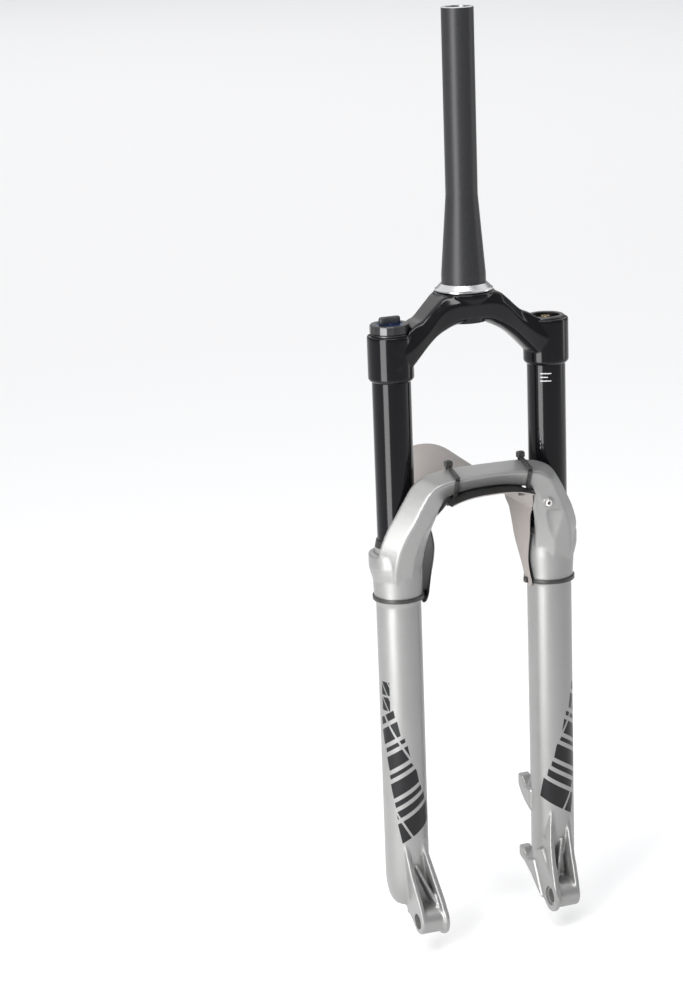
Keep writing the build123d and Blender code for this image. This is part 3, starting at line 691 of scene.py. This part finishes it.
# The bores, the axle holes, the seats for the hub and the tapped holes are machined last
tools, seats = [], []
for side in sides:
    tools.append(turn("bore", [
        (0, -100), (21.75, -100), (21.75, housing_top), (21.4, housing_top), (20.85, -230.8),
        (20.85, -248), (bore_r, -248), (bore_r, -556), (5.4, -556), (5.4, -562),
        (9.0, -562), (9.0, -574.4), (9.6, -575.6), (0, -580),
    ], side * leg_x, leg_y, 128))
    axle_r = through_r if side < 0 else thread_r
    tools.append(rod(axle_r, 40, (side * 68, axle_y, axle_z)))
    seats.append(hull("hub_seat", [(axle_y, axle_z, hub_seat_r)], side * 50, side * 57))
post_x = (post_near + post_far) / 2
for radius, depth, x, face, z, inward in (
    (2.5, 10, post_x, post_back, -483.4, -1), (2.5, 10, post_x, post_back, -557.8, -1),
    (1.7, 9, hose_x, -49.5, hose_z, 1),
):
    tools.append(rod(radius, depth, (x, face + inward * depth / 2, z), "Y", 32))
cut(lowers, *tools)
cut(lowers, *seats)
smooth(lowers)

silver = Finish("lowers_silver", Coat_Roughness=0.15, Specular_IOR_Level=0.3)
flakes = silver.noise(2200, 1)
cloud = silver.noise(26, 3)
outward = abs(silver.x) - leg_x
forward = leg_y - silver.y
angle = forward.math("ARCTAN2", outward) * (leg_r * mm)
# The graphics stand on the leg's outside: the height runs down it and the width round it
lead = angle + (silver.z + 400 * mm) * 0.21
graphics = 0
for top, bottom, start, stop in (
    (-389, -396, 3, 21), (-400, -414, 2, 22), (-418, -422, 3, 25), (-426, -439, 2, 26),
    (-443, -447, 1, 27), (-451, -465, 0, 29), (-469, -474, 0, 30), (-478, -485, -1, 32),
    (-489, -508, -2, 35),
):
    tilt = silver.z + lead * -0.55
    bar = lead.within(start * mm, stop * mm) * tilt.within(bottom * mm, top * mm)
    graphics = bar + graphics
slash = (lead * 0.9 + silver.z * 0.35).math("PINGPONG", 21 * mm).within(0, 1.1 * mm)
graphics = graphics * (1 - slash)
badge = 0
for top, bottom in ((-351, -364), (-366, -379)):
    box = angle.within(3 * mm, 13 * mm) * silver.z.within(bottom * mm, top * mm)
    box = box * (1 - (angle + silver.z * 0.6).math("PINGPONG", 4 * mm).within(0, 0.7 * mm))
    badge = box + badge
on_leg = 1 - silver.z.above(-300 * mm)
outside = outward.above(-20.5 * mm) * on_leg
graphics = (graphics + badge).math("MINIMUM", 1) * outside
ring_x, ring_z = silver.x - hose_x * mm, silver.z - hose_z * mm
ring = 1 - (ring_x * ring_x + ring_z * ring_z).math("SQRT").above(3.1 * mm, 0.5 * mm)
ring = ring * (1 - silver.y.above(-43 * mm))
paint = silver.mix(flakes * 0.7 + cloud * 0.3, (0.2, 0.2, 0.197), (0.33, 0.33, 0.325))
silver.set(
    Base_Color=silver.mix(
        graphics, silver.mix(ring, paint, (0.78, 0.76, 0.74)), (0.004, 0.004, 0.005)
    ),
    Roughness=flakes * 0.1 + cloud * 0.08 + 0.32 - graphics * 0.1,
    Metallic=0.6 - graphics * 0.6,
    Coat_Weight=0.3 - graphics * 0.3,
)
silver.bump(flakes + silver.noise(220, 2), 0.03 * mm, 0.4)
silver.cover(lowers)
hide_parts("lowers_casting")
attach(lowers, "lowers")

# ---- Seals and springs ----------------------------------------------------------------------
# Rubber wipers close the housings, foam rings under them hold oil, and rubber and plastic rings
# seal the cartridge and the air spring inside.
for slot, dark, light, rough, members in (
    ("seal_rubber", (0.009, 0.009, 0.009), (0.022, 0.022, 0.022), 0.5, (
        "damper_cap_seal", "air_cap_seal",
        "damper_bladder", "air_piston_seal", "topout_bumper", "bottomout_bumper",
    )),
    ("spacer_plastic", (0.25, 0.02, 0.015), (0.34, 0.03, 0.02), 0.45, ("volume_spacers",)),
    ("foam", (0.02, 0.02, 0.022), (0.06, 0.06, 0.062), 0.9,
     ("foam_ring_damper", "foam_ring_air")),
):
    finish = Finish(slot)
    grain = finish.noise(800, 4)
    finish.set(
        Base_Color=finish.mix(grain, dark, light), Roughness=grain * 0.2 + rough - 0.1
    )
    finish.bump(grain, 0.06 * mm, 0.5)
    finish.cover(*(nodes[member] for member in members))
wiper = Finish("wiper_rubber")
grain = wiper.noise(800, 4)
wiper_lip = wiper.z.above((housing_top + 5) * mm, 0.6 * mm)
wiper.set(
    Base_Color=wiper.mix(
        wiper_lip,
        wiper.mix(grain, (0.16, 0.155, 0.15), (0.26, 0.25, 0.24)),
        wiper.mix(grain, (0.009, 0.009, 0.009), (0.022, 0.022, 0.022)),
    ),
    Roughness=grain * 0.2 + 0.4,
)
wiper.bump(grain, 0.06 * mm, 0.5)
wiper.cover(nodes["dust_wiper_damper"], nodes["dust_wiper_air"])

# ---- Fender ---------------------------------------------------------------------------------
# A die-cut sheet of polypropylene folded under the arch, with a tongue down each leg and a tail
# behind. Its front lip is gloss black, and the rest has a fine linen grain and looks warm grey.
fender_t, fender_half, fender_front, fender_back = 1.2, 51.9, -57, 111.7
tail_from, tail_over, lip_from, lip_over = 88, 24, -51, 6
# Each station: depth, then the crest, edge height, half width and squareness of the section
fender_stations = [
    (fender_front, -175.8, -182.4, 42.6, 2.6), (-48, -172.7, -180.4, 42.6, 3.2),
    (-43, -172.6, -187, 45.2, 4.4), (-37, -172.8, -194, 48.2, 4.6),
    (-31, -173.2, -200, 50.6, 4.4), (-24, -173.8, -203.5, fender_half, 4.0),
    (34, -173.8, -203.5, fender_half, 2.4), (75, -170, -196, 49, 2.3),
    (fender_back, -166, -188, 42, 2.2),
]


def soften(piece, width):
    """Rounds the sharp edges of a piece."""
    return modify(piece, "BEVEL", width=width * mm, segments=2, limit_method="ANGLE",
                  angle_limit=math.radians(50))


def fender_line(y):
    """Crest, edge height, half width and how square the sheet's section is at one depth."""
    for near, far in zip(fender_stations, fender_stations[1:]):
        if y <= far[0]:
            share = (y - near[0]) / (far[0] - near[0])
            return [a + (b - a) * share for a, b in zip(near[1:], far[1:])]
    return fender_stations[-1][1:]


bpy.ops.object.select_all(action="DESELECT")
bpy.ops.mesh.primitive_grid_add(x_subdivisions=64, y_subdivisions=110, size=2)
sheet = bpy.context.object
for vertex in sheet.data.vertices:
    width, length = vertex.co.x, vertex.co.y
    y = fender_front + (fender_back - fender_front) * (length + 1) / 2
    round_in = max(0.0, (y - tail_from) / tail_over)
    front_in = max(0.0, (lip_from - y) / lip_over)
    crest, edge, half, square = fender_line(y)
    x = width * half * math.sqrt(1 - 0.5 * round_in**2.6) * (1 - 0.04 * front_in**2)
    height = crest - (crest - edge) * abs(x / half) ** square
    vertex.co = Vector((x, y, height)) * mm
tongues = []
tongue_top, tongue_drop, tip_out = -204, 77, 2.2
# Each row of a tongue: height, front edge, rear edge
tongue_rows = [
    (-203.3, -27.5, 33), (-207, -24, 31), (-212, -22.6, 24), (-218, -22.2, 20.5),
    (-228, -21.5, 16), (-238, -19, 12.4), (-250, -16.5, 5.5), (-258, -16.4, 0.8),
    (-266, -18, -2.6), (-272, -19.6, -5), (-276, -19.4, -7), (-279, -18, -9.5), (-281, -15, -12),
]
for side in sides:
    rows = eased(tongue_rows, 4)
    bpy.ops.object.select_all(action="DESELECT")
    bpy.ops.mesh.primitive_grid_add(x_subdivisions=20, y_subdivisions=len(rows) - 1, size=2)
    tongue = bpy.context.object
    for vertex in tongue.data.vertices:
        height, fore, aft = rows[round((1 - vertex.co.y) / 2 * (len(rows) - 1))]
        share = (vertex.co.x + 1) / 2
        # The damper side's tongue bows in towards the wheel, and both tips are tied to the leg
        down = max(0.0, min(1.0, (tongue_top - height) / tongue_drop))
        bow = (7 if side < 0 else 0.6) * math.sin(math.pi * down**0.8)
        out = fender_half - bow + tip_out * down**3
        place = Vector((side * out, fore + (aft - fore) * share, height))
        vertex.co = place * mm
    bpy.ops.object.mode_set(mode="EDIT")
    bpy.ops.mesh.select_all(action="SELECT")
    bpy.ops.mesh.normals_make_consistent(inside=False)
    bpy.ops.object.mode_set(mode="OBJECT")
    # The sheet is thickened inwards, so the faces of both tongues have to look outwards
    skin = bmesh.new()
    skin.from_mesh(tongue.data)
    skin.faces.ensure_lookup_table()
    if skin.faces[0].normal.x * side < 0:
        bmesh.ops.reverse_faces(skin, faces=skin.faces)
    skin.to_mesh(tongue.data)
    skin.free()
    tongues.append(tongue)
fender = join("fender_sheet", sheet, *tongues)
modify(fender, "SOLIDIFY", thickness=fender_t * mm, offset=-1)
soften(fender, 0.3)
smooth(fender, 35)
linen = Finish("fender_plastic", Specular_IOR_Level=0.4)
weave = (linen.x * 5200).math("SINE") * (linen.y * 5200).math("SINE")
threads = linen.noise(300, 3, (6, 0.6, 6)) + linen.noise(300, 3, (0.6, 6, 0.6))
facing = linen.node("ShaderNodeSeparateXYZ", sockets={
    0: linen.node("ShaderNodeNewGeometry", output="Normal")
}).socket.node.outputs
outer_side = Value(linen, facing["X"]) * linen.x * 30 + Value(linen, facing["Z"])
outer_side = outer_side.above(-0.1, 0.05)
front_part = (1 - linen.y.above(-12 * mm, 2 * mm)).math(
    "MAXIMUM", 1 - linen.z.above(-204 * mm, 2 * mm)
)
lip = outer_side * front_part
linen.set(
    Base_Color=linen.mix(
        lip,
        linen.mix(threads * 0.5, (0.2, 0.178, 0.165), (0.32, 0.295, 0.28)),
        (0.012, 0.012, 0.012),
    ),
    Roughness=0.55 - lip * 0.25 + threads * 0.05,
)
linen.bump(weave * 0.5 + threads, 0.09 * mm, 0.6)
linen.cover(fender)
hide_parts("fender")
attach(fender, "lowers")


# ---- Cable ties -----------------------------------------------------------------------------
# Moulded nylon ties hold the fender: two round the arch and one round each leg. Each strap has
# fine teeth and runs through a square head, and its end is cut short.
def strap(name, loop, width, thickness, along):
    """A band round a closed loop of places, drawn out by width and thickened outwards."""
    piece = add(name, [place * mm for place in loop], "NOTHING")
    bpy.ops.object.mode_set(mode="EDIT")
    bpy.ops.mesh.select_all(action="SELECT")
    bpy.ops.mesh.extrude_region_move(TRANSFORM_OT_translate={"value": along * width * mm})
    bpy.ops.mesh.select_all(action="SELECT")
    bpy.ops.mesh.normals_make_consistent(inside=False)
    bpy.ops.object.mode_set(mode="OBJECT")
    return modify(piece, "SOLIDIFY", thickness=thickness * mm, offset=1)


nylon = Finish("tie_plastic", Specular_IOR_Level=0.5)
scuff = nylon.noise(420, 3)
nylon.set(
    Base_Color=nylon.mix(scuff, (0.012, 0.012, 0.012), (0.035, 0.033, 0.031)),
    Roughness=scuff * 0.15 + 0.3,
)
teeth = (nylon.y * 4200 + nylon.z * 4200).math("SINE")
nylon.bump(teeth * 0.5 + scuff, 0.12 * mm, 0.5)
tie_width, tie_t, leg_tie_r, arch_head_y = 3.6, 1.3, 22.35, -31.6
for name, node in (("arch_band_right", "arch_tie_right"), ("arch_band_left", "arch_tie_left")):
    low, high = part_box(node)
    middle = (low.x + high.x) / 2 / mm
    loop = rounded([
        Vector((middle - tie_width / 2, y, z)) for y, z in (
            (-30.5, -152.1), (-52.5, -158.5), (-52.4, -161), (-46.2, -174.5), (-45.6, -180.5),
            (-30.4, -187.6),
        )
    ], (1.4, 1.4, 1.2, 2.5, 1.2, 1.2))
    band = strap(name, loop, tie_width, tie_t, Vector((1, 0, 0)))
    head = draw_out("head", [rounded([
        Vector((middle + x * grow, arch_head_y + y * grow, height)) for x, y in (
            (-3.6, -2.6), (3.6, -2.6), (3.6, 2.6), (-3.6, 2.6)
        )], [1.1] * 4) for height, grow in (
            (-152.2, 0.92), (-151.6, 1), (-148.0, 1), (-147.2, 0.92), (-146.7, 0.7),
        )])
    cut(head, draw_out("window", [rounded([
        Vector((middle + x, arch_head_y + y, height)) for x, y in (
            (-1.5, -0.9), (1.5, -0.9), (1.5, 0.9), (-1.5, 0.9)
        )], [0.2] * 4) for height in (-148.6, -140)]))
    band = join(name, band, head)
    soften(band, 0.22)
    smooth(band, 40)
    nylon.cover(band)
    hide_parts(node)
    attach(band, "lowers")
for name, node in (("leg_band_right", "leg_tie_right"), ("leg_band_left", "leg_tie_left")):
    low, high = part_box(node)
    side = math.copysign(1, low.x)
    base = high.z / mm - 4.8
    round_leg = [
        Vector((side * leg_side, leg_y / mm, base))
        + Matrix.Rotation(math.tau * step / 120, 3, "Z") @ Vector((leg_tie_r, 0, 0))
        for step in range(120)
    ]
    band = strap(name, round_leg, tie_width, tie_t, Vector((0, 0, 1)))
    head = draw_out("head", [rounded([
        Vector((side * (leg_side - reach), y, base + z)) for y, z in (
            (-12.5 + inset, -0.8 + inset), (-7.5 - inset, -0.8 + inset),
            (-7.5 - inset, 4.4 - inset), (-12.5 + inset, 4.4 - inset)
        )], [0.8] * 4) for reach, inset in ((22.2, 0.3), (22.8, 0), (25.6, 0), (26.3, 0.5))])
    band = join(name, band, head)
    soften(band, 0.22)
    smooth(band, 40)
    nylon.cover(band)
    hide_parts(node)
    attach(band, "lowers")
